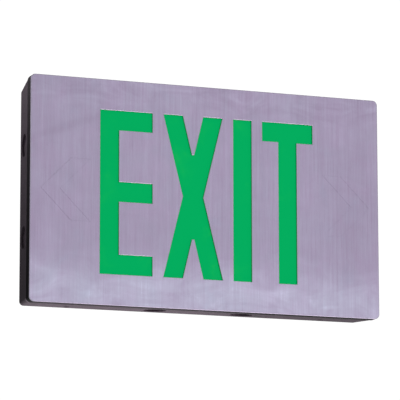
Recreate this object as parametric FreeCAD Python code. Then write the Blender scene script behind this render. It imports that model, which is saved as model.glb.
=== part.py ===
import FreeCAD, Part
import os
import math

V = FreeCAD.Vector
os.makedirs("parts", exist_ok=True)

# ---------------------------------------------------------------------------
# Single-face die-cast emergency exit sign, wall mounted.
# Frame: +X right as the sign is read, +Z up, +Y into the wall.  The wall plane
# is Y = 0 and the origin is the centre of the back plate's outlet-box pattern.
# The brushed face looks along -Y.  Millimetres.
# ---------------------------------------------------------------------------

# overall casting
FACE_W = 359.0          # face width
FACE_H = 218.0          # face height
DEPTH = 46.0            # wall plane to the front of the face
FACE_R = 4.8            # face corner radius
FACE_T = 2.4            # face thickness
RIM_DEPTH = 10.5        # how far the face's rim wraps back
RIM_T = 2.2             # rim wall
EDGE_R = 0.8            # rounding along the front edge

# casting taper: how much smaller the outline is at the wall than at the face
TAPER_SIDE = 4.8
TAPER_TOP = 6.0
TAPER_BOTTOM = 2.0
SETBACK = 0.3           # housing set inside the rim line at the joint
JOINT_GAP = 0.3         # gap between rim and housing, front to back
WALL = 2.5              # housing wall
LIP_T = 1.5             # light lip inside the rim
LIP_CLEAR = 0.4         # rim to lip

# legend: stencil letters with a 3/4 inch stroke
STROKE = 19.05
LETTER_H = 158.4
E_W = 53.0
X_W = 60.8
T_W = 53.0
LETTER_GAP = 11.2
X_ARM = 19.8            # arm width of the X measured level
X_WAIST = 20.8
X_NOTCH = 41.2          # height of the bottom of the X's notch
X_FLAT = 2.5

# direction chevrons, knocked out on site
CHEV_TIP = 169.0        # outer point, from the centre
CHEV_H = 30.0           # half height, and run, of the 45 degree arms
CHEV_T = 19.0           # arm width measured level

# wall knockouts
KO_R = 11.1             # 7/8 inch trade knockout
KO_PITCH = 88.9         # 3.5 inch
KO_Y = -18.8
KO_DEEP = 3.2
KO_BOSS_R = 12.6
KO_BOSS = 2.0

# back plate
BACK_T = 3.0
LEDGE_T = 3.0
LEDGE_IN = 11.0
LATCH_X = 131.0
WIRE_R = 11.1
OCT_SPACING = 88.9      # 4 inch octagon box screws
OCT_R = 2.5
GANG_SPACING = 83.3     # single-gang box screws
GANG_R = 2.2
SURF_X = 254.0          # surface screws
SURF_Z = 127.0
SURF_R = 2.5

# inner levels
CHASSIS_Y0 = -25.5
CHASSIS_Y1 = -24.3
REFL_MOUTH_Y = -39.5
REFL_T = 1.5
SCREW_Z = 97.5
CHASSIS_SCREW_X = (-150.0, 0.0, 150.0)
POST_X = 110.0
POST_Z = 97.5
POST_R = 2.5
POST_END_Y = CHASSIS_Y0 - 2.2
PIN_X = (-160.0, -55.0, 55.0, 160.0)
PIN_Z = 86.0
PIN_R = 1.5
DIFF_T = 2.0
PCB_Y0 = -21.3
PCB_Y1 = -19.7
SW_X = 61.6             # test button
SW_Y = PCB_Y1 + 3.5
LAMP_X = 71.5           # charge lamp
BUTTON_R = 3.0
BUTTON_TRAVEL = 1.5
BUTTON_PROUD = 0.4      # low cap, hardly proud of the wall
LAMP_PROUD = 0.1
BROKEN_EDGE = 0.35      # bright broken edge round the legend openings


def box(x0, x1, y0, y1, z0, z1):
    return Part.makeBox(x1 - x0, y1 - y0, z1 - z0, V(x0, y0, z0))


def cyl(x, y, z, r, h, d):
    return Part.makeCylinder(r, h, V(x, y, z), V(*d))


def ywire(x0, x1, z0, z1, r, y):
    """Closed rectangle with round corners, in the plane Y = y."""
    k = r * (1 - math.sqrt(0.5))

    def p(x, z):
        return V(x, y, z)
    e = [Part.LineSegment(p(x0 + r, z0), p(x1 - r, z0)).toShape(),
         Part.Arc(p(x1 - r, z0), p(x1 - k, z0 + k), p(x1, z0 + r)).toShape(),
         Part.LineSegment(p(x1, z0 + r), p(x1, z1 - r)).toShape(),
         Part.Arc(p(x1, z1 - r), p(x1 - k, z1 - k), p(x1 - r, z1)).toShape(),
         Part.LineSegment(p(x1 - r, z1), p(x0 + r, z1)).toShape(),
         Part.Arc(p(x0 + r, z1), p(x0 + k, z1 - k), p(x0, z1 - r)).toShape(),
         Part.LineSegment(p(x0, z1 - r), p(x0, z0 + r)).toShape(),
         Part.Arc(p(x0, z0 + r), p(x0 + k, z0 + k), p(x0 + r, z0)).toShape()]
    return Part.Wire(e)


def yprism(wire, y1):
    y0 = wire.BoundBox.YMin
    return Part.Face(wire).extrude(V(0, y1 - y0, 0))


def ypoly(pts, y):
    q = [V(x, y, z) for x, z in pts]
    return Part.makePolygon(q + [q[0]])


def frustum(w0, w1):
    return Part.makeLoft([w0, w1], True, True)


def one(shape):
    s = shape.removeSplitter()
    if len(s.Solids) == 1:
        return s.Solids[0]
    return s


def group(shapes):
    return Part.makeCompound(shapes)


def save(name, shape):
    shape.exportStep("parts/%s.step" % name)
    print("%-24s solids %d  volume %.1f mm3  valid %s" % (
        name, len(shape.Solids), shape.Volume, shape.isValid()))


# outline of the housing at a depth y: front edge of the housing to the wall
Y_FACE = -DEPTH
Y_RIM = -DEPTH + RIM_DEPTH
Y_H = Y_RIM + JOINT_GAP


def outline(y, inset, r):
    k = (y - Y_H) / (0.0 - Y_H)
    hx = FACE_W / 2 - SETBACK - (TAPER_SIDE - SETBACK) * k - inset
    zt = FACE_H / 2 - SETBACK - (TAPER_TOP - SETBACK) * k - inset
    zb = -FACE_H / 2 + SETBACK + (TAPER_BOTTOM - SETBACK) * k + inset
    return ywire(-hx, hx, zb, zt, r, y)


def wall_x(y):
    """Outer face of the side walls at depth y."""
    k = (y - Y_H) / (0.0 - Y_H)
    return FACE_W / 2 - SETBACK - (TAPER_SIDE - SETBACK) * k


def wall_top(y):
    k = (y - Y_H) / (0.0 - Y_H)
    return FACE_H / 2 - SETBACK - (TAPER_TOP - SETBACK) * k


def wall_bottom(y):
    k = (y - Y_H) / (0.0 - Y_H)
    return -(FACE_H / 2 - SETBACK - (TAPER_BOTTOM - SETBACK) * k)


# ---------------------------------------------------------------------------
# faceplate: die-cast tray with the legend cut through it
# ---------------------------------------------------------------------------
def straight(inset, r, y0, y1):
    return yprism(ywire(-FACE_W / 2 + inset, FACE_W / 2 - inset,
                        -FACE_H / 2 + inset, FACE_H / 2 - inset, r, y0), y1)


face = straight(0, FACE_R, Y_FACE, Y_RIM)
front_edges = [e for e in face.Edges
               if abs(e.BoundBox.YMin - Y_FACE) < 1e-6 and abs(e.BoundBox.YMax - Y_FACE) < 1e-6]
face = face.makeFillet(EDGE_R, front_edges)
face = face.cut(straight(RIM_T, FACE_R - RIM_T, Y_FACE + FACE_T, Y_RIM + 1))

word_w = E_W + X_W + STROKE + T_W + 3 * LETTER_GAP
x = -word_w / 2
h = LETTER_H / 2
s = STROKE
E = [(x, -h), (x + E_W, -h), (x + E_W, -h + s), (x + s, -h + s), (x + s, 0.5 - s / 2),
     (x + E_W, 0.5 - s / 2), (x + E_W, 0.5 + s / 2), (x + s, 0.5 + s / 2), (x + s, h - s),
     (x + E_W, h - s), (x + E_W, h), (x, h)]
x += E_W + LETTER_GAP
c = x + X_W / 2
a = X_W / 2
X = [(c - a, -h), (c - a + X_ARM, -h), (c - X_FLAT / 2, -X_NOTCH), (c + X_FLAT / 2, -X_NOTCH),
     (c + a - X_ARM, -h), (c + a, -h), (c + X_WAIST / 2, 0), (c + a, h), (c + a - X_ARM, h),
     (c + X_FLAT / 2, X_NOTCH), (c - X_FLAT / 2, X_NOTCH), (c - a + X_ARM, h), (c - a, h),
     (c - X_WAIST / 2, 0)]
x += X_W + LETTER_GAP
I = [(x, -h), (x + s, -h), (x + s, h), (x, h)]
x += s + LETTER_GAP
c = x + T_W / 2
T = [(c - s / 2, -h), (c + s / 2, -h), (c + s / 2, h - s), (x + T_W, h - s), (x + T_W, h),
     (x, h), (x, h - s), (c - s / 2, h - s)]

for letter in (E, X, I, T):
    face = face.cut(yprism(ypoly(letter, Y_FACE - 0.5), Y_FACE + FACE_T + 0.5))
    # small broken edge around each opening
    w = ypoly(letter, Y_FACE)
    wide = Part.Face(w).makeOffset2D(BROKEN_EDGE, 2).OuterWire
    wide_front = wide.copy()
    wide_front.translate(V(0, -0.02, 0))
    w_in = ypoly(letter, Y_FACE + BROKEN_EDGE)
    face = face.cut(Part.makeLoft([wide_front, w_in], True, True))


def chevron(sign):
    t, k, w = CHEV_TIP, CHEV_H, CHEV_T
    pts = [(-t, 0), (-t + k, -k), (-t + k + w, -k), (-t + w, 0), (-t + k + w, k), (-t + k, k)]
    return [(-sign * px, pz) for px, pz in pts]


def groove(sign, half, y0, y1):
    f = Part.Face(ypoly(chevron(sign), y0))
    outer = f.makeOffset2D(half, 2)
    inner = f.makeOffset2D(-half, 2)
    return outer.cut(inner).extrude(V(0, y1 - y0, 0))


# witness line in front, deep relief behind: leaves a thin web to break out
face = face.cut(groove(-1, 0.20, Y_FACE - 0.2, Y_FACE + 0.14))
face = face.cut(groove(1, 0.14, Y_FACE - 0.2, Y_FACE + 0.12))
for sg in (-1, 1):
    face = face.cut(groove(sg, 0.9, Y_FACE + 0.85, Y_FACE + FACE_T + 0.5))

# posts for the spring clips, pins for the diffuser
for sx in (-1, 1):
    for sz in (-1, 1):
        px, pz = sx * POST_X, sz * POST_Z
        y_b = Y_FACE + FACE_T - 0.5
        post = cyl(px, y_b, pz, POST_R, POST_END_Y - y_b, (0, 1, 0))
        foot = Part.makeCone(POST_R + 1.6, POST_R, 3.0, V(px, Y_FACE + FACE_T - 0.2, pz), V(0, 1, 0))
        neck = cyl(px, CHASSIS_Y0 - 7.4, pz, POST_R + 1, 2.4, (0, 1, 0)).cut(
            cyl(px, CHASSIS_Y0 - 7.4, pz, POST_R - 0.55, 2.4, (0, 1, 0)))
        tip = cyl(px, POST_END_Y - 1.0, pz, POST_R + 1, 1.2, (0, 1, 0)).cut(
            Part.makeCone(POST_R, POST_R - 1.0, 1.0, V(px, POST_END_Y - 1.0, pz), V(0, 1, 0)))
        face = face.fuse([post, foot]).cut(neck).cut(tip)
for px in PIN_X:
    for sz in (-1, 1):
        face = face.fuse(cyl(px, Y_FACE + FACE_T - 0.5, sz * PIN_Z, PIN_R, 0.5 + DIFF_T + 1.6, (0, 1, 0)))
# stiffening rib along the top and bottom, inside the rim
for sz in (-1, 1):
    z_r = sz * 102.6
    for x0, x1 in ((-100, 100), (-168, -120), (120, 168)):
        face = face.fuse(box(x0, x1, Y_FACE + FACE_T - 0.2, Y_FACE + FACE_T + 1.3,
                             min(z_r, z_r - sz * 1.4), max(z_r, z_r - sz * 1.4)))
faceplate = one(face)
save("faceplate", faceplate)

# green letter diffuser against the back of the face
Y_D0 = Y_FACE + FACE_T
Y_D1 = Y_D0 + DIFF_T
diff = yprism(ywire(-172.5, 172.5, -93, 93, 3, Y_D0), Y_D1)
for px in PIN_X:
    for sz in (-1, 1):
        diff = diff.cut(cyl(px, Y_D0 - 1, sz * PIN_Z, PIN_R + 0.2, DIFF_T + 2, (0, 1, 0)))
save("letter_diffuser", one(diff))

# push-on nuts that hold the diffuser on its pins
nuts = []
for px in PIN_X:
    for sz in (-1, 1):
        n = Part.makeCone(4.2, 3.6, 0.5, V(px, Y_D1, sz * PIN_Z), V(0, 1, 0))
        n = n.fuse(Part.makeCone(2.6, 1.9, 0.9, V(px, Y_D1, sz * PIN_Z), V(0, 1, 0)))
        n = n.cut(cyl(px, Y_D1 - 1, sz * PIN_Z, PIN_R, 4, (0, 1, 0)))
        nuts.append(one(n))
save("diffuser_push_nuts", group(nuts))

# ---------------------------------------------------------------------------
# housing: die-cast frame, tapered towards the wall
# ---------------------------------------------------------------------------
body = frustum(outline(Y_H, 0, FACE_R - 0.2), outline(0, 0, FACE_R - 0.7))
Y_STEP = Y_H + 5.0
in_f = RIM_T + LIP_CLEAR + LIP_T
hollow = frustum(outline(Y_STEP, WALL, 4.0), outline(1.0, WALL, 3.5))
body = body.cut(hollow)
body = body.cut(straight(in_f, FACE_R - in_f + 0.6, Y_H - 1, Y_STEP + 0.01))
lip = straight(RIM_T + LIP_CLEAR, FACE_R - RIM_T - LIP_CLEAR, Y_FACE + 4.0, Y_H + 1.0).cut(
    straight(in_f, FACE_R - in_f + 0.6, Y_FACE + 3.0, Y_H + 2.0))
body = body.fuse(lip)

# ledge that the back plate seats on
outer_full = frustum(outline(Y_H, 0.5, 5.8), outline(0, 0.5, 5.3))
ledge = outer_full.common(box(-200, 200, -BACK_T - LEDGE_T, -BACK_T, -120, 120)).cut(
    box(-FACE_W / 2 + LEDGE_IN, FACE_W / 2 - LEDGE_IN, -20, 5, -FACE_H / 2 + LEDGE_IN, FACE_H / 2 - LEDGE_IN))
body = body.fuse(ledge)

# screw bosses for the chassis, each tied to its wall by a rib
for bx in CHASSIS_SCREW_X:
    for sz in (-1, 1):
        bz = sz * SCREW_Z
        body = body.fuse(cyl(bx, CHASSIS_Y1, bz, 4.0, -BACK_T - 1.0 - CHASSIS_Y1, (0, 1, 0)))
        z_w = wall_top(CHASSIS_Y1) - 1.0 if sz > 0 else wall_bottom(CHASSIS_Y1) + 1.0
        z_e = (wall_top(-BACK_T - 1) - 1.0) if sz > 0 else (wall_bottom(-BACK_T - 1) + 1.0)
        z_w = min(z_w, z_e) if sz > 0 else max(z_w, z_e)
        body = body.fuse(box(bx - 1.5, bx + 1.5, CHASSIS_Y1, -BACK_T - 1.0, min(bz, z_w), max(bz, z_w)))
        body = body.cut(cyl(bx, CHASSIS_Y1 - 1, bz, 1.55, 15.0, (0, 1, 0)))

# knockout bosses inside, then the round recess from outside
hk = KO_PITCH / 2
for sg in (-1, 1):
    for sx in (-1, 1):
        xin = wall_x(KO_Y) - WALL
        xb = sx * (xin - KO_BOSS)
        body = body.fuse(cyl(xb, KO_Y, sg * hk, KO_BOSS_R, KO_BOSS + 1.5, (sx, 0, 0)).common(outer_full))
    zin = wall_top(KO_Y) - WALL
    body = body.fuse(cyl(sg * hk, KO_Y, zin - KO_BOSS, KO_BOSS_R, KO_BOSS + 1.5, (0, 0, 1)).common(outer_full))
    zin = wall_bottom(KO_Y) + WALL
    body = body.fuse(cyl(sg * hk, KO_Y, zin + KO_BOSS, KO_BOSS_R, KO_BOSS + 1.5, (0, 0, -1)).common(outer_full))
for sg in (-1, 1):
    for sx in (-1, 1):
        body = body.cut(cyl(sx * (wall_x(KO_Y) - KO_DEEP), KO_Y, sg * hk, KO_R, 20, (sx, 0, 0)))
    body = body.cut(cyl(sg * hk, KO_Y, wall_top(KO_Y) - KO_DEEP, KO_R, 20, (0, 0, 1)))
    body = body.cut(cyl(sg * hk, KO_Y, wall_bottom(KO_Y) + KO_DEEP, KO_R, 20, (0, 0, -1)))

# latch windows near the wall, and notches in the ledge for the latch fingers
for sx in (-1, 1):
    lx = sx * LATCH_X
    body = body.cut(box(lx - 2.3, lx + 2.3, -14.0, -6.5, 95, 120))
    body = body.cut(box(lx - 2.3, lx + 2.3, -14.0, -6.5, -120, -95))
    body = body.cut(box(lx - 3.3, lx + 3.3, -BACK_T - LEDGE_T - 1, -BACK_T + 1, 90,
                        wall_top(-BACK_T) - WALL - 0.05))
    body = body.cut(box(lx - 3.3, lx + 3.3, -BACK_T - LEDGE_T - 1, -BACK_T + 1,
                        wall_bottom(-BACK_T) + WALL + 0.05, -90))

# button and lamp holes in the bottom wall
body = body.cut(cyl(SW_X, SW_Y, -120, BUTTON_R + 0.3, 30, (0, 0, 1)))
body = body.cut(cyl(LAMP_X, SW_Y, -120, 1.7, 30, (0, 0, 1)))
housing = one(body)
save("housing", housing)

# ---------------------------------------------------------------------------
# back plate with the outlet-box pattern, pushed in from the wall side
# ---------------------------------------------------------------------------
hx = wall_x(0) - WALL - 0.25
zt = wall_top(0) - WALL - 0.25
zb = wall_bottom(0) + WALL + 0.25
back = yprism(ywire(-hx, hx, zb, zt, 3.2, -BACK_T), 0)
# raised stiffening frame on the inner side
rib = yprism(ywire(-160, 160, -90, 90, 4, -BACK_T - 2.0), -BACK_T + 0.5).cut(
    yprism(ywire(-158, 158, -88, 88, 3, -BACK_T - 3.0), -BACK_T + 1.0))
rib2 = yprism(ywire(-62, 62, -58, 58, 4, -BACK_T - 2.0), -BACK_T + 0.5).cut(
    yprism(ywire(-60, 60, -56, 56, 3, -BACK_T - 3.0), -BACK_T + 1.0))
back = back.fuse([rib, rib2])
for rx in (-100.0, 100.0):
    back = back.fuse(box(rx - 1, rx + 1, -BACK_T - 2.0, -BACK_T + 0.5, -89, 89))
back = back.cut(cyl(0, -10, 0, WIRE_R, 20, (0, 1, 0)))
for sg in (-1, 1):
    back = back.cut(cyl(sg * OCT_SPACING / 2, -10, 0, OCT_R, 20, (0, 1, 0)))
    back = back.cut(cyl(0, -10, sg * GANG_SPACING / 2, GANG_R, 20, (0, 1, 0)))
    for sz in (-1, 1):
        back = back.cut(cyl(sg * SURF_X / 2, -10, sz * SURF_Z / 2, SURF_R, 20, (0, 1, 0)))
# scored outlet-box rings on the wall side
for r_o in (50.8, 36.0):
    ring = cyl(0, -0.5, 0, r_o + 0.4, 1.0, (0, 1, 0)).cut(cyl(0, -0.6, 0, r_o - 0.4, 1.2, (0, 1, 0)))
    back = back.cut(ring)
# latch fingers with their nibs in the windows
for sx in (-1, 1):
    lx = sx * LATCH_X
    for top in (True, False):
        z_w = wall_top(-BACK_T) - WALL - 0.35 if top else -(wall_bottom(-BACK_T) + WALL + 0.35)
        sgn = 1 if top else -1
        z_a, z_b = z_w - 2.0, z_w
        f = box(lx - 2.9, lx + 2.9, -16.5, -BACK_T + 0.5, min(sgn * z_a, sgn * z_b), max(sgn * z_a, sgn * z_b))
        nib = Part.makePolygon([V(lx - 1.9, -14.6, sgn * (z_b - 0.5)), V(lx - 1.9, -7.6, sgn * (z_b - 0.5)),
                                V(lx - 1.9, -7.6, sgn * (z_b + 2.3)), V(lx - 1.9, -9.6, sgn * (z_b + 2.3)),
                                V(lx - 1.9, -14.6, sgn * (z_b + 0.2)), V(lx - 1.9, -14.6, sgn * (z_b - 0.5))])
        nib = Part.Face(nib).extrude(V(3.8, 0, 0))
        back = back.fuse([f, nib])
save("back_plate", one(back))

# ---------------------------------------------------------------------------
# chassis: folded steel sheet across the middle of the housing
# ---------------------------------------------------------------------------
ch = box(-170.5, 170.5, CHASSIS_Y0, CHASSIS_Y1, -101.6, 100.9)
for sx in (-1, 1):
    x0, x1 = sorted((sx * 170.5, sx * 169.3))
    ch = ch.fuse(box(x0, x1, CHASSIS_Y0, -20.5, -99, 99))
for bx in CHASSIS_SCREW_X:
    for sz in (-1, 1):
        ch = ch.cut(cyl(bx, -28, sz * SCREW_Z, 2.0, 6, (0, 1, 0)))
LEAD_X = 152.0
LEAD_Z = 72.8
for sz in (-1, 1):
    ch = ch.cut(cyl(LEAD_X, -28, sz * LEAD_Z, 3.4, 6, (0, 1, 0)))
save("chassis_plate", one(ch))


def pan_screw(x, y, z, r_head, h_head, r_shank, l_shank, sign):
    """Pan-head cross-recess screw; the head stands along sign*Y from y."""
    head = cyl(x, y, z, r_head, h_head, (0, sign, 0))
    top = [e for e in head.Edges if abs(e.BoundBox.YMin - (y + sign * h_head)) < 1e-6
           and abs(e.BoundBox.YMax - (y + sign * h_head)) < 1e-6 and e.Length > 1]
    head = head.makeFillet(h_head * 0.45, top)
    sh = cyl(x, y + sign * 0.2, z, r_shank, l_shank + 0.2, (0, -sign, 0))
    sc = head.fuse(sh)
    w = r_head * 0.22
    l = r_head * 0.62
    ya, yb = sorted((y + sign * (h_head + 0.1), y + sign * h_head * 0.45))
    cross = box(x - l, x + l, ya, yb, z - w / 2, z + w / 2).fuse(
        box(x - w / 2, x + w / 2, ya, yb, z - l, z + l))
    return one(sc.cut(cross))


save("chassis_screws", group([pan_screw(bx, CHASSIS_Y0, sz * SCREW_Z, 3.4, 2.2, 1.5, 11.0, -1)
                              for bx in CHASSIS_SCREW_X for sz in (-1, 1)]))

# spring clips that grip the face's posts: one bent strip each
clips = []
for sx in (-1, 1):
    for sz in (-1, 1):
        px, pz = sx * POST_X, sz * POST_Z
        gap = POST_R + 0.35
        t = 0.5
        y_w, y_t = CHASSIS_Y0 - 6.2, CHASSIS_Y0 - 10.6
        pts = [(px - 8.0, CHASSIS_Y0), (px + 8.0, CHASSIS_Y0), (px + 8.0, CHASSIS_Y0 - t),
               (px + 4.6, CHASSIS_Y0 - t), (px + gap + t, y_w), (px + 5.4, y_t),
               (px + 4.9, y_t - 0.2), (px + gap, y_w), (px + 3.9, CHASSIS_Y0 - t),
               (px - 3.9, CHASSIS_Y0 - t), (px - gap, y_w), (px - 4.9, y_t - 0.2),
               (px - 5.4, y_t), (px - gap - t, y_w), (px - 4.6, CHASSIS_Y0 - t),
               (px - 8.0, CHASSIS_Y0 - t)]
        q = [V(ax, ay, pz - 3.0) for ax, ay in pts]
        strip = Part.Face(Part.makePolygon(q + [q[0]])).extrude(V(0, 0, 6.0))
        clips.append(one(strip))
save("faceplate_spring_clips", group(clips))
save("clip_rivets", group([
    one(cyl(sx * POST_X + k * 6.3, CHASSIS_Y0 - 0.5, sz * POST_Z, 1.5, 0.8, (0, -1, 0)))
    for sx in (-1, 1) for sz in (-1, 1) for k in (-1, 1)]))

# ---------------------------------------------------------------------------
# white light box and its LED boards
# ---------------------------------------------------------------------------
Y_B0 = CHASSIS_Y0 - REFL_T
tray = frustum(ywire(-169, 169, -90, 90, 4, REFL_MOUTH_Y), ywire(-159, 159, -90, 90, 4, CHASSIS_Y0))
cav = frustum(ywire(-167.5, 167.5, -88.5, 88.5, 2.5, REFL_MOUTH_Y - 0.01), ywire(-157.5, 157.5, -88.5, 88.5, 2.5, Y_B0))
tray = tray.cut(cav)
for sz in (-1, 1):
    tray = tray.cut(cyl(LEAD_X, -30, sz * LEAD_Z, 3.0, 6, (0, 1, 0)))
RIVETS = [(-148, -70), (-148, 70), (140, -60), (140, 60), (0, -70), (0, 70)]
save("light_box", one(tray))
riv = []
for rx, rz in RIVETS:
    r1 = cyl(rx, Y_B0, rz, 3.2, 1.4, (0, -1, 0))
    top = [e for e in r1.Edges if abs(e.BoundBox.YMin - (Y_B0 - 1.4)) < 1e-6 and abs(e.BoundBox.YMax - (Y_B0 - 1.4)) < 1e-6]
    riv.append(one(r1.makeFillet(0.6, top)))
save("light_box_rivets", group(riv))

BOARD_X = 148.0
LED_Y = -33.1
for nm, sg in (("upper", 1), ("lower", -1)):
    z_a, z_b = sorted((sg * 88.5, sg * 86.9))
    save(nm + "_led_board", box(-BOARD_X, BOARD_X, -37.6, -28.6, z_a, z_b))
    leds = []
    for i in range(12):
        lx = -137.5 + 25.0 * i
        z_c, z_d = sorted((sg * 86.9, sg * 85.2))
        b1 = box(lx - 1.75, lx + 1.75, LED_Y - 1.4, LED_Y + 1.4, z_c, z_d)
        lens = cyl(lx, LED_Y, sg * 85.2, 1.1, 0.4, (0, 0, sg))
        b1 = b1.cut(lens)
        leds.append(one(b1))
    save(nm + "_leds", group(leds))

# ---------------------------------------------------------------------------
# driver board behind the chassis
# ---------------------------------------------------------------------------
PX0, PX1, PZ0, PZ1 = 57.0, 145.0, -99.0, -41.0
HOLES = [(80.0, -94.5), (140.0, -94.5), (61.5, -46.0), (140.0, -46.0)]
pcb = box(PX0, PX1, PCB_Y0, PCB_Y1, PZ0, PZ1)
for hx_, hz_ in HOLES:
    pcb = pcb.cut(cyl(hx_, -24, hz_, 1.6, 6, (0, 1, 0)))
save("driver_board", one(pcb))
st = []
for hx_, hz_ in HOLES:
    hexa = Part.makePolygon([V(hx_ + 3.0 * math.cos(math.radians(60 * k)), CHASSIS_Y1,
                               hz_ + 3.0 * math.sin(math.radians(60 * k))) for k in range(7)])
    so = Part.Face(hexa).extrude(V(0, PCB_Y0 - CHASSIS_Y1, 0))
    st.append(one(so.cut(cyl(hx_, CHASSIS_Y1 + 0.8, hz_, 1.25, 8, (0, 1, 0)))))
save("board_standoffs", group(st))
save("board_screws", group([pan_screw(hx_, PCB_Y1, hz_, 2.7, 1.8, 1.2, 3.4, 1) for hx_, hz_ in HOLES]))

# transformer: E-I core with its wound bobbin
cx, cz = 108.0, -76.0
core = box(cx - 16, cx + 16, PCB_Y1 + 1.2, PCB_Y1 + 12.4, cz - 13.5, cz + 13.5)
for sg in (-1, 1):
    w0, w1 = sorted((cx + sg * 4.5, cx + sg * 11.2))
    core = core.cut(box(w0, w1, PCB_Y1, PCB_Y1 + 14, cz - 8.7, cz + 8.7))
save("transformer_core", one(core))
bob = box(cx - 11.0, cx + 11.0, PCB_Y1, PCB_Y1 + 13.6, cz - 8.5, cz + 8.5)
bob = bob.cut(box(cx - 4.5, cx + 4.5, PCB_Y1 + 1.2, PCB_Y1 + 12.4, cz - 20, cz + 20))
es = [e for e in bob.Edges if abs(e.BoundBox.XMin - e.BoundBox.XMax) < 1e-6 and abs(abs(e.BoundBox.XMin - cx) - 11.0) < 1e-6
      and abs(e.BoundBox.YMin - e.BoundBox.YMax) < 1e-6]
bob = bob.makeFillet(1.2, es)
save("transformer_winding", one(bob))

caps = []
for kx, kz, kr, kh in ((132.0, -62.0, 5.0, 13.5), (132.0, -75.0, 5.0, 13.5), (86.5, -86.0, 4.0, 11.5)):
    cp = cyl(kx, PCB_Y1, kz, kr, kh, (0, 1, 0))
    top = [e for e in cp.Edges if abs(e.BoundBox.YMin - (PCB_Y1 + kh)) < 1e-6 and abs(e.BoundBox.YMax - (PCB_Y1 + kh)) < 1e-6]
    cp = cp.makeFillet(0.7, top)
    for q in (0, 1):
        cp = cp.cut(box(kx - (3 if q else .2), kx + (3 if q else .2), PCB_Y1 + kh - 0.25, PCB_Y1 + kh + 1,
                        kz - (.2 if q else 3), kz + (.2 if q else 3)))
    caps.append(one(cp))
save("filter_capacitors", group(caps))

rel = box(84.0, 102.0, PCB_Y1, PCB_Y1 + 11.0, -58.0, -47.0)
rel = rel.makeFillet(0.6, [e for e in rel.Edges if e.BoundBox.YMin > PCB_Y1 + 0.1])
save("transfer_relay", one(rel))

var = cyl(118.5, PCB_Y1 + 6.4, -52.0, 5.2, 3.4, (1, 0, 0)).fuse(
    box(119.2, 121.2, PCB_Y1, PCB_Y1 + 3.0, -55.0, -49.0))
save("surge_disc", one(var))

# three-way supply block, wire mouths towards the outlet box
tb = box(58.5, 69.0, PCB_Y1, PCB_Y1 + 9.5, -79.0, -61.0)
for k in range(3):
    zc = -76.0 + 6.0 * k
    tb = tb.cut(box(57.0, 65.5, PCB_Y1 + 2.2, PCB_Y1 + 5.4, zc - 1.6, zc + 1.6))
    tb = tb.cut(box(62.0, 66.0, PCB_Y1 + 7.3, PCB_Y1 + 10, zc - 2.0, zc + 2.0))
save("supply_terminal_block", one(tb))

# plug-in lead connectors
BC_X = 74.5
bc = box(BC_X - 4.0, BC_X + 4.0, PCB_Y1, PCB_Y1 + 7.0, -49.0, -43.0)
save("battery_connector", one(bc.makeFillet(0.4, [e for e in bc.Edges if e.BoundBox.YMin > PCB_Y1 + 6.9])))
lc = []
for zc in (-57.0, -67.0):
    b1 = box(138.5, 144.5, PCB_Y1, PCB_Y1 + 6.0, zc - 3.0, zc + 3.0)
    lc.append(one(b1.makeFillet(0.4, [e for e in b1.Edges if e.BoundBox.YMin > PCB_Y1 + 5.9])))
save("led_connectors", group(lc))

# test switch body, plunger and button cap
Z_SW = PZ0
sw = box(SW_X - 3.5, SW_X + 3.5, PCB_Y1, PCB_Y1 + 7.0, Z_SW, Z_SW + 9.0)
sw = sw.cut(cyl(SW_X, SW_Y, Z_SW - 1, 1.85, 7.0, (0, 0, 1)))
save("test_switch", one(sw))
Z_FL = wall_bottom(SW_Y + 4.2) + WALL + 0.32     # outer side of the cap's flange
Z_TIP = wall_bottom(SW_Y) - BUTTON_PROUD
cap = cyl(SW_X, SW_Y, Z_TIP, BUTTON_R, Z_FL - Z_TIP + 0.3, (0, 0, 1))
low = [e for e in cap.Edges if abs(e.BoundBox.ZMax - Z_TIP) < 1e-6 and e.Length > 1]
cap = cap.makeFillet(0.5, low)
cap = cap.fuse(cyl(SW_X, SW_Y, Z_FL, 3.9, 1.2, (0, 0, 1)))
save("test_button", one(cap))
Z_CAP = Z_FL + 1.2
save("switch_plunger", one(cyl(SW_X, SW_Y, Z_CAP, 1.7, Z_SW + 3.9 - Z_CAP, (0, 0, 1))))

# return spring around the plunger
Z_S0, Z_S1 = Z_CAP, Z_SW
WIRE = 0.4
turns = 3.0
hgt = Z_S1 - Z_S0 - WIRE - 0.02
hel = Part.makeHelix(hgt / turns, hgt, 2.75)
hel.translate(V(SW_X, SW_Y, Z_S0 + WIRE / 2 + 0.01))
hx0, hx1 = SW_X + 2.75 - WIRE / 2, SW_X + 2.75 + WIRE / 2
hz0, hz1 = Z_S0 + 0.01, Z_S0 + 0.01 + WIRE
prof = Part.makePolygon([V(hx0, SW_Y, hz0), V(hx1, SW_Y, hz0), V(hx1, SW_Y, hz1), V(hx0, SW_Y, hz1), V(hx0, SW_Y, hz0)])
spring = Part.Wire(hel.Edges).makePipeShell([prof], True, True)
save("button_spring", spring if spring.ShapeType == "Solid" else Part.Solid(spring.Shells[0]))

# charge lamp and its holder
Z_LENS = wall_bottom(SW_Y) - LAMP_PROUD + 1.5
save("charge_lamp", one(cyl(LAMP_X, SW_Y, Z_LENS, 1.5, Z_SW + 3.0 - Z_LENS, (0, 0, 1)).fuse(
    Part.makeSphere(1.5, V(LAMP_X, SW_Y, Z_LENS)))))
hold = box(LAMP_X - 2.6, LAMP_X + 2.6, PCB_Y1, SW_Y + 2.6, Z_SW, Z_SW + 6.0)
save("lamp_holder", one(hold.cut(cyl(LAMP_X, SW_Y, Z_SW - 1, 1.5, 4.0, (0, 0, 1)))))

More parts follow.
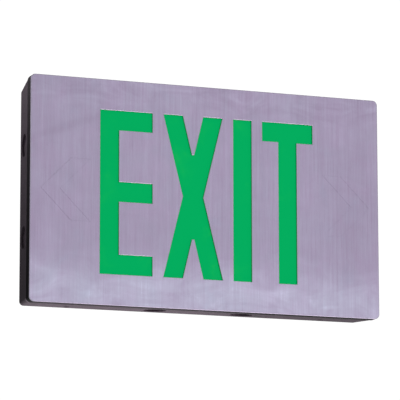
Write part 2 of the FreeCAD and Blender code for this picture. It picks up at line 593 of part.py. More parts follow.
# ---------------------------------------------------------------------------
# battery: four cells in a shrink sleeve, strapped to the chassis
# ---------------------------------------------------------------------------
BX0, PITCH, CR = -145.0, 14.5, 7.2
BZ0, BZ1 = -92.0, -42.0
BY = CHASSIS_Y1 + CR
cells = [cyl(BX0 + PITCH * i, BY, BZ0, CR, BZ1 - BZ0, (0, 0, 1)) for i in range(4)]
cells = [c_.makeFillet(1.0, [e for e in c_.Edges if abs(e.BoundBox.ZMin - e.BoundBox.ZMax) < 1e-6]) for c_ in cells]
pack = cells[0].fuse(cells[1:] + [box(BX0, BX0 + 3 * PITCH, BY - 6.5, BY + 6.5, BZ0 + 1.2, BZ1 - 1.2)])
save("battery_pack", one(pack))
SX0, SX1 = BX0 - CR, BX0 + 3 * PITCH + CR
t = 1.0
zs = -67.0
out = [(SX0 - 12, CHASSIS_Y1), (SX0 - t, CHASSIS_Y1), (SX0 - t + 1.0, CHASSIS_Y1)]
pts = [(SX0 - 12, CHASSIS_Y1), (SX0 - 0.1, CHASSIS_Y1), (SX0 - 0.1, BY + CR), (SX1 + 0.1, BY + CR),
       (SX1 + 0.1, CHASSIS_Y1), (SX1 + 12, CHASSIS_Y1), (SX1 + 12, CHASSIS_Y1 + t),
       (SX1 + 0.1 + t, CHASSIS_Y1 + t), (SX1 + 0.1 + t, BY + CR + t), (SX0 - 0.1 - t, BY + CR + t),
       (SX0 - 0.1 - t, CHASSIS_Y1 + t), (SX0 - 12, CHASSIS_Y1 + t)]
q = [V(ax, ay, zs - 6.0) for ax, ay in pts]
strap = Part.Face(Part.makePolygon(q + [q[0]])).extrude(V(0, 0, 12.0))
for hx_ in (SX0 - 7, SX1 + 7):
    strap = strap.cut(cyl(hx_, CHASSIS_Y1 - 2, zs, 1.8, 6, (0, 1, 0)))
save("battery_strap", one(strap))
save("strap_screws", group([pan_screw(hx_, CHASSIS_Y1 + t, zs, 2.9, 1.9, 1.4, 1.0, 1) for hx_ in (SX0 - 7, SX1 + 7)]))

# bonding screw for the supply earth: hex head with a cupped washer face
gx, gz = 30.0, 62.0
hx6 = Part.Face(Part.makePolygon([V(gx + 4.0 * math.cos(math.radians(60 * k)), CHASSIS_Y1 + 1.0,
                                   gz + 4.0 * math.sin(math.radians(60 * k))) for k in range(7)])).extrude(V(0, 2.6, 0))
gs = hx6.fuse(cyl(gx, CHASSIS_Y1, gz, 5.0, 1.0, (0, 1, 0))).cut(
    box(gx - 3.2, gx + 3.2, CHASSIS_Y1 + 2.6, CHASSIS_Y1 + 4, gz - 0.5, gz + 0.5))
save("ground_screw", one(gs))


# ---------------------------------------------------------------------------
# internal leads: straight runs joined by tangent arcs
# ---------------------------------------------------------------------------
def lead(points, dia, r_cap):
    P = [V(*p) for p in points]
    n = len(P)
    segs = []
    prev = P[0]
    radii = []
    length = 0.0
    for i in range(1, n - 1):
        a_ = P[i - 1] - P[i]
        b_ = P[i + 1] - P[i]
        la, lb = a_.Length, b_.Length
        a_.normalize()
        b_.normalize()
        turn = math.pi - a_.getAngle(b_)
        r = min(0.45 * min(la, lb) / math.tan(turn / 2), r_cap)
        cut = r * math.tan(turn / 2)
        p1 = P[i] + a_ * cut
        p2 = P[i] + b_ * cut
        bis = a_ + b_
        bis.normalize()
        mid = P[i] + bis * (r / math.cos(turn / 2) - r)
        segs.append(Part.LineSegment(prev, p1).toShape())
        segs.append(Part.Arc(p1, mid, p2).toShape())
        prev = p2
        radii.append(round(r, 1))
    segs.append(Part.LineSegment(prev, P[-1]).toShape())
    path = Part.Wire(segs)
    d0 = P[1] - P[0]
    d0.normalize()
    prof = Part.Wire([Part.makeCircle(dia / 2, P[0], d0)])
    tube = path.makePipeShell([prof], True, False)
    if tube.ShapeType != "Solid":
        tube = Part.Solid(tube.Shells[0])
    expect = math.pi * dia * dia / 4 * path.Length
    print("   lead length %.1f  radii %s  volume ratio %.3f" % (path.Length, radii, tube.Volume / expect))
    return tube


Y_L = CHASSIS_Y1 + 1.6
Y_C = PCB_Y1 + 3.5
save("battery_lead_positive", lead([
    (-104.0, BY, BZ1), (-104.0, BY, BZ1 + 10), (-99.0, Y_L + 0.5, -21.0), (-80.0, Y_L, -17.0),
    (-30.0, Y_L, -17.4), (20.0, Y_L, -17.0), (60.0, Y_L, -17.4), (74.5, Y_L + 4.0, -22.5),
    (76.2, Y_C, -34.0), (76.2, Y_C, -43.0)], 1.5, 14.0))
save("battery_lead_negative", lead([
    (-100.0, BY, BZ1), (-100.0, BY, BZ1 + 8), (-96.0, Y_L + 0.5, -25.0), (-78.0, Y_L, -20.4),
    (-30.0, Y_L, -20.8), (20.0, Y_L, -20.4), (58.0, Y_L, -20.8), (70.8, Y_L + 4.0, -26.0),
    (72.8, Y_C, -35.0), (72.8, Y_C, -43.0)], 1.5, 14.0))
Y_K = PCB_Y1 + 3.0
save("upper_led_lead", lead([
    (146.0, LED_Y, 86.9), (146.0, LED_Y, 81.0), (151.4, LED_Y + 2.0, 75.2), (LEAD_X, Y_L + 0.6, 70.8), (LEAD_X, Y_L + 0.3, 57.0),
    (LEAD_X, Y_L, 25.0), (LEAD_X - 1.0, Y_L, -8.0), (LEAD_X, Y_L + 0.5, -36.0), (LEAD_X + 1.0, Y_K - 3.0, -48.0),
    (LEAD_X - 0.5, Y_K, -57.0), (144.5, Y_K, -57.0)], 1.8, 14.0))
save("lower_led_lead", lead([
    (146.0, LED_Y, -86.9), (146.0, LED_Y, -81.0), (151.4, LED_Y + 2.0, -75.2), (LEAD_X, Y_L + 0.6, -71.4), (LEAD_X + 0.4, Y_K - 1.4, -69.4),
    (150.8, Y_K, -67.0), (144.5, Y_K, -67.0)], 1.8, 14.0))

# saddle clips that hold the leads to the chassis
sad = []
for sx_, sz_, w_, ang in ((-55.0, -19.1, 7.6, 0), (0.0, -19.1, 7.6, 0), (45.0, -19.1, 7.6, 0)):
    b1 = box(sx_ - 2.0, sx_ + 2.0, CHASSIS_Y1, CHASSIS_Y1 + 3.6, sz_ - w_ / 2, sz_ + w_ / 2)
    b1 = b1.cut(box(sx_ - 3, sx_ + 3, CHASSIS_Y1 - 1, CHASSIS_Y1 + 2.6, sz_ - w_ / 2 + 1.0, sz_ + w_ / 2 - 1.0))
    sad.append(one(b1))
for sz_ in (40.0, 0.0):
    b1 = box(LEAD_X - 3.4, LEAD_X + 2.4, CHASSIS_Y1, CHASSIS_Y1 + 3.8, sz_ - 2.0, sz_ + 2.0)
    b1 = b1.cut(box(LEAD_X - 2.4, LEAD_X + 1.4, CHASSIS_Y1 - 1, CHASSIS_Y1 + 2.9, sz_ - 3, sz_ + 3))
    sad.append(one(b1))
save("lead_saddles", group(sad))
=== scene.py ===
import bpy
import bmesh
import math
from mathutils import Matrix, Quaternion, Vector


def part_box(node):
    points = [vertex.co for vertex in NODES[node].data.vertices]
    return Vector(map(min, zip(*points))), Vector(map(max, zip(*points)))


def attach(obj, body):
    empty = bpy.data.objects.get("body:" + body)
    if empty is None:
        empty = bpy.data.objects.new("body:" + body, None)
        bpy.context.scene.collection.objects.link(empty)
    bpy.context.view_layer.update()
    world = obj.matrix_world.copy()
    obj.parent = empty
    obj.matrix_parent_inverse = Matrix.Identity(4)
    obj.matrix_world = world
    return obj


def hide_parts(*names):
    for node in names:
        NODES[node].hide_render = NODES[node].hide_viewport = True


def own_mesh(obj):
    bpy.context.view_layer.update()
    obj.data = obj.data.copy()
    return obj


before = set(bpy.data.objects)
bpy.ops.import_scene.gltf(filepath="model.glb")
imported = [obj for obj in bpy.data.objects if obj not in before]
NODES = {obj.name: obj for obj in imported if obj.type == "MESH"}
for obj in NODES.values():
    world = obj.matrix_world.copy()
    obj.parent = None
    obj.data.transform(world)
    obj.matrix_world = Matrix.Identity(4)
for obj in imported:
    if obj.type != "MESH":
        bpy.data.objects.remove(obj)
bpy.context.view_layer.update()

MM = 0.001


# ---------------------------------------------------------------------------
# small helper round a node tree
# ---------------------------------------------------------------------------
def lin(c):
    """sRGB 0-255 to linear."""
    out = []
    for v in c:
        v = v / 255.0
        out.append(v / 12.92 if v <= 0.04045 else ((v + 0.055) / 1.055) ** 2.4)
    return (out[0], out[1], out[2], 1.0)


class Mat:
    def __init__(self, name):
        self.m = bpy.data.materials.new(name)
        self.m.use_nodes = True
        self.t = self.m.node_tree
        self.t.nodes.clear()
        self.out = self.t.nodes.new("ShaderNodeOutputMaterial")
        self.b = self.t.nodes.new("ShaderNodeBsdfPrincipled")
        self.t.links.new(self.b.outputs[0], self.out.inputs[0])
        tc = self.t.nodes.new("ShaderNodeTexCoord")
        self.co = tc.outputs["Object"]
        self.gen = tc.outputs["Normal"]
        self._sep = None

    def set(self, **kw):
        for k, v in kw.items():
            self.b.inputs[k.replace("_", " ")].default_value = v
        return self

    def link(self, a, name):
        self.t.links.new(a, self.b.inputs[name])

    def _in(self, sock, v):
        if isinstance(v, (int, float)):
            sock.default_value = v
        elif isinstance(v, (tuple, list)):
            sock.default_value = v
        else:
            self.t.links.new(v, sock)

    def xyz(self):
        if self._sep is None:
            s = self.t.nodes.new("ShaderNodeSeparateXYZ")
            self.t.links.new(self.co, s.inputs[0])
            self._sep = (s.outputs[0], s.outputs[1], s.outputs[2])
        return self._sep

    def normal(self):
        g = self.t.nodes.new("ShaderNodeNewGeometry")
        return g.outputs["Normal"]

    def sep(self, v):
        s = self.t.nodes.new("ShaderNodeSeparateXYZ")
        self.t.links.new(v, s.inputs[0])
        return s.outputs[0], s.outputs[1], s.outputs[2]

    def map(self, scale=(1, 1, 1), loc=(0, 0, 0), rot=(0, 0, 0), vec=None):
        n = self.t.nodes.new("ShaderNodeMapping")
        self.t.links.new(vec or self.co, n.inputs[0])
        n.inputs["Scale"].default_value = scale
        n.inputs["Location"].default_value = loc
        n.inputs["Rotation"].default_value = rot
        return n.outputs[0]

    def noise(self, vec, scale=1.0, detail=2.0, rough=0.5, dist=0.0):
        n = self.t.nodes.new("ShaderNodeTexNoise")
        self.t.links.new(vec, n.inputs["Vector"])
        n.inputs["Scale"].default_value = scale
        n.inputs["Detail"].default_value = detail
        n.inputs["Roughness"].default_value = rough
        n.inputs["Distortion"].default_value = dist
        return n.outputs[0]

    def voronoi(self, vec, scale=1.0, feature="F1", out="Distance", rand=1.0):
        n = self.t.nodes.new("ShaderNodeTexVoronoi")
        n.feature = feature
        self.t.links.new(vec, n.inputs["Vector"])
        n.inputs["Scale"].default_value = scale
        n.inputs["Randomness"].default_value = rand
        return n.outputs[out]

    def brick(self, vec, c1, c2, mortar, scale=1.0, w=0.5, h=0.25, size=0.02, smooth=0.1, offset=0.5):
        n = self.t.nodes.new("ShaderNodeTexBrick")
        self.t.links.new(vec, n.inputs["Vector"])
        n.offset = offset
        n.inputs["Color1"].default_value = c1
        n.inputs["Color2"].default_value = c2
        n.inputs["Mortar"].default_value = mortar
        n.inputs["Scale"].default_value = scale
        n.inputs["Brick Width"].default_value = w
        n.inputs["Row Height"].default_value = h
        n.inputs["Mortar Size"].default_value = size
        n.inputs["Mortar Smooth"].default_value = smooth
        return n.outputs["Color"], n.outputs["Fac"]

    def math(self, op, a, b=0.0, c=0.0, clamp=False):
        n = self.t.nodes.new("ShaderNodeMath")
        n.operation = op
        n.use_clamp = clamp
        self._in(n.inputs[0], a)
        if len(n.inputs) > 1:
            self._in(n.inputs[1], b)
        if len(n.inputs) > 2:
            self._in(n.inputs[2], c)
        return n.outputs[0]

    def add(self, a, b):
        return self.math("ADD", a, b)

    def mul(self, a, b):
        return self.math("MULTIPLY", a, b)

    def sub(self, a, b):
        return self.math("SUBTRACT", a, b)

    def gt(self, a, b):
        return self.math("GREATER_THAN", a, b)

    def lt(self, a, b):
        return self.math("LESS_THAN", a, b)

    def mn(self, a, b):
        return self.math("MINIMUM", a, b)

    def mx(self, a, b):
        return self.math("MAXIMUM", a, b)

    def ab(self, a):
        return self.math("ABSOLUTE", a)

    def step(self, v, lo, hi, a=0.0, b=1.0, kind="SMOOTHSTEP"):
        n = self.t.nodes.new("ShaderNodeMapRange")
        n.interpolation_type = kind
        n.clamp = True
        self._in(n.inputs["Value"], v)
        n.inputs["From Min"].default_value = lo
        n.inputs["From Max"].default_value = hi
        n.inputs["To Min"].default_value = a
        n.inputs["To Max"].default_value = b
        return n.outputs[0]

    def ramp(self, fac, stops, kind="LINEAR"):
        n = self.t.nodes.new("ShaderNodeValToRGB")
        self._in(n.inputs[0], fac)
        cr = n.color_ramp
        cr.interpolation = kind
        while len(cr.elements) < len(stops):
            cr.elements.new(0.5)
        for e, (p, c) in zip(cr.elements, stops):
            e.position = p
            e.color = c if len(c) == 4 else (*c, 1.0)
        return n.outputs[0]

    def mix(self, fac, a, b, kind="MIX"):
        n = self.t.nodes.new("ShaderNodeMix")
        n.data_type = "RGBA"
        n.blend_type = kind
        self._in(n.inputs[0], fac)
        self._in(n.inputs[6], a)
        self._in(n.inputs[7], b)
        return n.outputs[2]

    def bump(self, height, strength=0.3, dist=0.001, prev=None):
        n = self.t.nodes.new("ShaderNodeBump")
        n.inputs["Strength"].default_value = strength
        n.inputs["Distance"].default_value = dist
        self._in(n.inputs["Height"], height)
        if prev is not None:
            self.t.links.new(prev, n.inputs["Normal"])
        return n.outputs[0]

    def ellipse(self, cx, cz, rx, rz, soft=0.5, tilt=0.0, warp=None):
        """1 inside a soft ellipse in the X-Z plane, 0 outside."""
        x, y, z = self.xyz()
        dx, dz = self.sub(x, cx), self.sub(z, cz)
        ct, st = math.cos(tilt), math.sin(tilt)
        u = self.mul(self.add(self.mul(dx, ct), self.mul(dz, st)), 1.0 / rx)
        v = self.mul(self.sub(self.mul(dz, ct), self.mul(dx, st)), 1.0 / rz)
        d = self.math("SQRT", self.add(self.mul(u, u), self.mul(v, v)))
        if warp is not None:
            d = self.add(d, warp)
        return self.step(d, 1.0 + soft, 1.0 - soft)


def give(node, mat):
    o = NODES[node]
    if not o.material_slots:
        o.data.materials.append(mat.m)
    for s in o.material_slots:
        s.material = mat.m


# ---------------------------------------------------------------------------
# the brushed face with its black painted rim
# ---------------------------------------------------------------------------
face_lo, face_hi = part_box("faceplate")
Y_FRONT = face_lo.y
HX, HZ = face_hi.x, face_hi.z
PLATE = 0.0024

m = Mat("brushed_face")
x, y, z = m.xyz()
# cloudy tarnish, several sizes
cloud = m.noise(m.map((1, 1, 1)), 22.0, 4.0, 0.55, 0.6)
cloud2 = m.noise(m.map((1.6, 1, 1), (3, 1, 7)), 62.0, 3.0, 0.6, 0.8)
# vertical brushing: bands, streaks and hairlines
bands = m.noise(m.map((150, 1, 9), (1, 0, 3)), 1.0, 3.0, 0.6)
streak = m.noise(m.map((620, 1, 30), (5, 0, 1)), 1.0, 3.0, 0.6)
hair = m.noise(m.map((2400, 1, 36), (2, 0, 9)), 1.0, 2.0, 0.6)
# painted reflection: the lower band of the face is painted lighter, with a wavy edge, standing in for light reflected
# from below; cloud3 sets its patchy level
cloud3 = m.noise(m.map((0.62, 1, 1.25), (11, 0, 5)), 34.0, 4.0, 0.62, 1.2)
hue = m.noise(m.map((1, 1, 0.8), (2, 0, 21)), 26.0, 3.0, 0.6, 0.8)
zz = m.add(z, m.mul(m.sub(cloud, 0.5), 0.060))
zz = m.add(zz, m.mul(m.sub(bands, 0.5), 0.012))
# painted reflection: the face is painted lighter below this wavy edge
painted_reflection_band = m.step(zz, -0.048, -0.096)
f = m.add(m.mul(painted_reflection_band, 0.40), 0.24)
patchy = m.add(0.20, m.add(m.mul(painted_reflection_band, 0.80), m.mul(m.step(z, 0.070, 0.100), 0.60)))
f = m.add(f, m.mul(m.sub(cloud3, 0.5), patchy))
f = m.add(f, m.mul(m.sub(cloud, 0.5), 0.26))
f = m.add(f, m.mul(m.sub(cloud2, 0.5), 0.25))
f = m.add(f, m.mul(m.sub(bands, 0.5), 0.20))
f = m.add(f, m.mul(m.sub(streak, 0.5), 0.46))
f = m.add(f, m.mul(m.sub(hair, 0.5), 0.40))
brush = m.noise(m.map((430, 1, 8), (0.3, 0, 0.1)), 1.0, 2.0, 0.5)
f = m.add(f, m.mul(m.sub(brush, 0.5), 0.34))
# a dull streak rising to the upper left of the word, smudges low on the right
warp = m.mul(m.sub(cloud2, 0.5), 0.9)
f = m.sub(f, m.mul(m.ellipse(-0.140, 0.062, 0.050, 0.0035, 0.8, 0.36, warp), 0.09))
f = m.sub(f, m.mul(m.ellipse(0.150, 0.005, 0.030, 0.060, 0.9, 0.1, warp), 0.08))
f = m.add(f, m.mul(m.ellipse(0.1075, -0.0965, 0.0024, 0.0048, 0.8, 0.5, warp), 0.15))
f = m.add(f, m.mul(m.ellipse(0.1120, -0.0970, 0.0018, 0.0042, 0.8, -0.4, warp), 0.13))
f = m.add(f, m.mul(m.ellipse(0.1270, -0.1000, 0.0085, 0.0016, 0.8, 0.10, warp), 0.20))
f = m.add(f, m.mul(m.ellipse(0.075, -0.088, 0.014, 0.0045, 0.9, 0.3, warp), 0.12))
f = m.add(f, m.mul(m.ellipse(-0.055, -0.087, 0.016, 0.010, 0.8, 0.9, warp), 0.10))
f = m.sub(f, m.mul(m.ellipse(0.150, -0.085, 0.050, 0.032, 0.9, 0.0, warp), 0.09))
metal = m.ramp(f, [(0.0, lin((146, 134, 158))), (0.30, lin((159, 150, 174))), (0.75, lin((178, 175, 197))),
                   (1.0, lin((198, 197, 221)))])
metal = m.mix(m.step(hue, 0.42, 0.66, 0.0, 0.55), metal, m.mix(1.0, metal, (1.035, 0.972, 1.01, 1.0), "MULTIPLY"))
metal = m.mix(m.step(hue, 0.44, 0.26, 0.0, 0.60), metal, m.mix(1.0, metal, (0.965, 1.03, 1.02, 1.0), "MULTIPLY"))
# paint: the rim and everything behind the plate, with a worn line along the rounded edge
edge_n = m.mul(m.sub(m.noise(m.map((1, 1, 1)), 900.0, 2.0, 0.6), 0.5), 0.00022)
outer = m.mx(m.gt(m.ab(x), HX - 0.0066), m.gt(m.ab(z), HZ - 0.0066))
paint = m.mx(m.mul(outer, m.gt(m.add(y, edge_n), Y_FRONT + 0.00066)), m.gt(y, Y_FRONT + PLATE - 0.00004))
# bare metal with a painted highlight on the slanted faces of the plate's rounded edge and of the broken edges round
# the letters; painted green light spill on the letter walls; painted shade in the score lines of the chevrons
fn = m.sep(m.normal())
painted_edge_highlight = m.mul(m.step(m.ab(fn[1]), 0.97, 0.86), m.step(m.ab(fn[1]), 0.20, 0.40))
inside = m.mul(m.lt(m.ab(x), 0.112), m.lt(m.ab(z), 0.082))
# painted green light: the walls of the letter openings take the glowing panel's green as their colour
painted_green_spill = m.mul(m.mul(m.sub(1.0, m.gt(m.ab(fn[1]), 0.5)), inside), m.lt(y, Y_FRONT + PLATE - 0.00004))
# painted shade in the chevron score lines behind the front face: stronger along the left chevron's outer lines, broken
# up by noise, faint on the right chevron
line = m.lt(m.ab(m.sub(m.add(x, 0.169), m.ab(z))), 0.0012)
line = m.mul(line, m.step(m.noise(m.map((1, 1, 1), (7, 0, 3)), 90.0, 2.0, 0.5), 0.34, 0.54, 0.15, 1.0))
painted_groove_shade = m.mul(m.mul(m.gt(y, Y_FRONT + 0.00004),
                     m.add(m.mul(m.lt(x, -0.114), m.add(0.06, m.mul(line, 0.20))), m.mul(m.gt(x, 0.114), 0.02))),
               m.mul(m.lt(m.ab(x), HX - 0.0066), m.lt(m.ab(z), 0.034)))
# painted highlight: slanted edge faces mixed towards a near-white colour
metal = m.mix(m.mul(painted_edge_highlight, 0.85), metal, lin((220, 215, 233)))
# painted shade: the score grooves mixed towards a darker colour
metal = m.mix(painted_groove_shade, metal, lin((138, 123, 143)))
# painted green light spill on the letter walls
metal = m.mix(painted_green_spill, metal, lin((4, 150, 82)))
grit = m.noise(m.map((1, 1, 1)), 2600.0, 2.0, 0.5)
black = m.mix(m.noise(m.map((1, 1, 1)), 55.0, 3.0, 0.5), lin((6, 6, 7)), lin((15, 13, 16)))
m.link(m.mix(paint, metal, black), "Base Color")
bare = m.sub(1.0, m.mx(paint, m.mx(painted_green_spill, painted_groove_shade)))
m.link(bare, "Metallic")
m.b.inputs["Specular IOR Level"].default_value = 0.10
r_metal = m.add(0.40, m.mul(m.sub(streak, 0.5), 0.16))
r_metal = m.add(r_metal, m.mul(m.sub(cloud2, 0.5), 0.12))
r_paint = m.add(0.50, m.mul(m.sub(grit, 0.5), 0.15))
m.link(m.add(m.mul(m.sub(1.0, paint), r_metal), m.mul(paint, r_paint)), "Roughness")
h = m.add(m.mul(hair, 0.6), m.mul(streak, 0.6))
h = m.add(m.mul(h, m.sub(1.0, paint)), m.mul(m.mul(grit, 0.6), paint))
m.link(m.bump(h, 0.10, 0.0004), "Normal")
give("faceplate", m)

# ---------------------------------------------------------------------------
# glowing green panel
# ---------------------------------------------------------------------------
m = Mat("green_acrylic")
g1 = m.noise(m.map((1, 1, 1), (0, 0, 2)), 34.0, 3.0, 0.55, 0.4)
g2 = m.noise(m.map((1, 1, 1), (4, 0, 0)), 240.0, 2.0, 0.6)
gf = m.add(m.mul(m.step(g1, 0.52, 0.78), 0.75), m.mul(m.sub(g2, 0.5), 0.25))
green = m.ramp(gf, [(0.0, lin((0, 171, 93))), (0.5, lin((6, 174, 92))), (1.0, lin((30, 180, 84)))])
m.link(m.mix(0.72, green, (0.0, 0.0, 0.0, 1.0)), "Base Color")
m.link(green, "Emission Color")
m.set(Emission_Strength=0.83, Roughness=0.55)
m.b.inputs["Specular IOR Level"].default_value = 0.02
m.link(m.bump(m.noise(m.map((1, 1, 1)), 1500.0, 2.0, 0.5), 0.05, 0.0003), "Normal")
give("letter_diffuser", m)


# ---------------------------------------------------------------------------
# powder coated castings
# ---------------------------------------------------------------------------
def powder(name, dark, light, worn, seed, edge=True, rough=0.52):
    m = Mat(name)
    x, y, z = m.xyz()
    big = m.noise(m.map((1, 1, 1), (seed, 0, 1)), 16.0, 4.0, 0.6, 0.4)
    mid = m.noise(m.map((1, 1, 1), (seed, 5, 1)), 130.0, 3.0, 0.6)
    peel = m.noise(m.map((1, 1, 1), (seed, 2, 1)), 1500.0, 2.0, 0.55)
    fine = m.noise(m.map((1, 1, 1), (seed, 3, 1)), 4200.0, 1.0, 0.5)
    f = m.add(m.mul(big, 0.7), m.mul(mid, 0.3))
    f = m.step(f, 0.30, 0.72, 0.0, 1.0, "LINEAR")
    col = m.mix(f, lin(dark), lin(light))
    # dust specks
    sp = m.voronoi(m.map((1, 1, 1), (seed, 4, 2)), 420.0)
    keep = m.noise(m.map((1, 1, 1), (seed, 9, 2)), 40.0, 2.0, 0.6)
    speck = m.mul(m.lt(sp, 0.10), m.step(keep, 0.60, 0.70))
    col = m.mix(m.mul(speck, 0.4), col, lin(worn))
    m.link(col, "Base Color")
    m.link(m.add(rough, m.add(m.mul(m.sub(mid, 0.5), 0.16), m.mul(m.sub(peel, 0.5), 0.14))), "Roughness")
    m.link(m.bump(m.add(m.mul(peel, 0.75), m.mul(fine, 0.3)), 0.22, 0.0004), "Normal")
    m.b.inputs["Specular Tint"].default_value = (1.0, 0.82, 0.95, 1.0)
    return m, col


m, col = powder("black_powder_coat", (46, 39, 46), (60, 51, 60), (116, 104, 116), 1.0)
x, y, z = m.xyz()
h_lo, h_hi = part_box("housing")
lip_y = h_lo.y + 0.0065           # where the outer walls begin, behind the lip
# painted highlight along the front corner of the casting, mostly along the bottom: a thin lighter line just behind the
# faceplate rim
wn = m.noise(m.map((1, 1, 1), (2, 2, 2)), 120.0, 3.0, 0.6)
fr = m.step(m.add(y, m.mul(m.sub(wn, 0.5), 0.0034)), -0.0318, -0.0332)
onwall = m.gt(y, -0.03535)
under = m.step(z, -0.1040, -0.1065)
painted_highlight_line = m.mul(m.mul(fr, onwall), m.add(0.06, m.mul(under, 0.94)))
# long handling scuffs along the underside
scuff = m.noise(m.map((11, 190, 1), (3, 1, 0)), 1.0, 3.0, 0.6)
scuff2 = m.noise(m.map((38, 460, 1), (8, 1, 0)), 1.0, 2.0, 0.6)
sc = m.mul(m.step(m.add(m.mul(scuff, 0.6), m.mul(scuff2, 0.4)), 0.50, 0.62), under)
sc2 = m.mul(m.step(m.add(m.mul(scuff, 0.6), m.mul(scuff2, 0.4)), 0.50, 0.40), under)
col = m.mix(m.mul(sc, 0.50), col, lin((128, 112, 126)))
col = m.mix(m.mul(sc2, 0.60), col, lin((20, 17, 20)))
# painted shade: the left wall is painted darker towards the bottom
painted_shade_lowleft = m.mul(m.step(z, 0.01, -0.08), m.lt(x, -0.165))
col = m.mix(m.mul(painted_shade_lowleft, 0.6), col, lin((20, 18, 20)))
# underside painted lighter and more purple-brown: partly its own tone, partly painted bounce light from below
col = m.mix(m.mul(under, 0.30), col, lin((84, 64, 78)))
# painted highlight: the thin line along the front corner mixed towards a pale colour
m.link(m.mix(m.mul(painted_highlight_line, 0.85), col, lin((190, 175, 189))), "Base Color")
give("housing", m)

m, col = powder("black_powder_coat_back", (50, 46, 51), (64, 59, 65), (120, 112, 122), 6.0)
give("back_plate", m)


# ---------------------------------------------------------------------------
# plain metals
# ---------------------------------------------------------------------------
def metal_mat(name, a, b, rough=0.35, grain=(1, 1, 1), scale=120.0, bump=0.05, spangle=False):
    m = Mat(name)
    n1 = m.noise(m.map(grain), scale, 3.0, 0.6)
    n2 = m.noise(m.map(grain, (4, 4, 4)), scale * 7, 2.0, 0.5)
    f = m.add(m.mul(n1, 0.7), m.mul(n2, 0.3))
    if spangle:
        v = m.voronoi(m.map((1, 1, 1)), 150.0, "F1", "Color")
        s = m.sep(v)[0]
        f = m.add(m.mul(f, 0.7), m.mul(s, 0.3))
    m.link(m.mix(m.step(f, 0.3, 0.7, 0, 1, "LINEAR"), lin(a), lin(b)), "Base Color")
    m.set(Metallic=1.0)
    m.link(m.add(rough, m.mul(m.sub(n2, 0.5), 0.2)), "Roughness")
    m.link(m.bump(n2, bump, 0.0003), "Normal")
    return m


give("chassis_plate", metal_mat("zinc_steel", (150, 153, 158), (186, 189, 194), 0.38, (1, 1, 0.12), 160.0, 0.04, True))
give("battery_strap", metal_mat("zinc_strap", (150, 153, 158), (184, 187, 192), 0.36, (0.12, 1, 1), 200.0, 0.04))
for nm, sc in (("chassis_screws", 700.0), ("clip_rivets", 800.0), ("board_screws", 800.0), ("strap_screws", 800.0)):
    give(nm, metal_mat("zinc_" + nm, (164, 167, 170), (205, 207, 210), 0.30, (1, 1, 1), sc, 0.05))
for nm, g in (("faceplate_spring_clips", (0.15, 1, 1)), ("diffuser_push_nuts", (1, 1, 1)), ("button_spring", (1, 1, 0.3))):
    give(nm, metal_mat("spring_" + nm, (92, 94, 100), (142, 144, 150), 0.30, g, 600.0, 0.05))
give("ground_screw", metal_mat("green_screw", (18, 104, 48), (40, 140, 74), 0.36, (1, 1, 1), 700.0, 0.05))
give("board_standoffs", metal_mat("brass_turned", (176, 140, 66), (214, 182, 104), 0.28, (0.2, 3, 0.2), 500.0, 0.06))

# transformer core: stacked laminations under varnish
m = Mat("core_steel")
x, y, z = m.xyz()
lam = m.math("FRACT", m.mul(z, 2000.0))
edge = m.add(m.lt(lam, 0.14), 0.0)
n = m.noise(m.map((1, 1, 1)), 260.0, 3.0, 0.6)
c = m.mix(n, lin((70, 66, 62)), lin((112, 106, 98)))
m.link(m.mix(m.mul(edge, 0.7), c, lin((30, 26, 24))), "Base Color")
m.set(Metallic=0.75)
m.link(m.add(0.38, m.mul(m.sub(n, 0.5), 0.2)), "Roughness")
m.link(m.bump(m.sub(1.0, edge), 0.5, 0.0002), "Normal")
give("transformer_core", m)

# wound bobbin: overlapping turns of tape
m = Mat("amber_tape")
x, y, z = m.xyz()
w = m.math("FRACT", m.mul(m.add(z, m.mul(y, 0.05)), 420.0))
n = m.noise(m.map((1, 1, 0.3)), 320.0, 3.0, 0.6)
lap = m.step(w, 0.0, 0.12)
c = m.mix(n, lin((186, 138, 36)), lin((214, 170, 70)))
m.link(m.mix(m.mul(m.sub(1.0, lap), 0.5), c, lin((120, 80, 20))), "Base Color")
m.link(m.add(0.34, m.mul(n, 0.2)), "Roughness")
m.link(m.bump(m.add(lap, m.mul(n, 0.4)), 0.4, 0.0002), "Normal")
give("transformer_winding", m)


# ---------------------------------------------------------------------------
# moulded plastics
# ---------------------------------------------------------------------------
def plastic(name, a, b, rough=0.45, scale=90.0, bump=0.10, fine=1800.0, sss=0.0):
    m = Mat(name)
    n1 = m.noise(m.map((1, 1, 1)), scale, 3.0, 0.55)
    n2 = m.noise(m.map((1, 1, 1), (3, 1, 2)), fine, 2.0, 0.5)
    m.link(m.mix(m.step(n1, 0.3, 0.7, 0, 1, "LINEAR"), lin(a), lin(b)), "Base Color")
    m.link(m.add(rough, m.mul(m.sub(n2, 0.5), 0.16)), "Roughness")
    m.link(m.bump(n2, bump, 0.0003), "Normal")
    if sss:
        m.b.inputs["Subsurface Weight"].default_value = sss
        m.b.inputs["Subsurface Radius"].default_value = (0.002, 0.0015, 0.001)
    return m


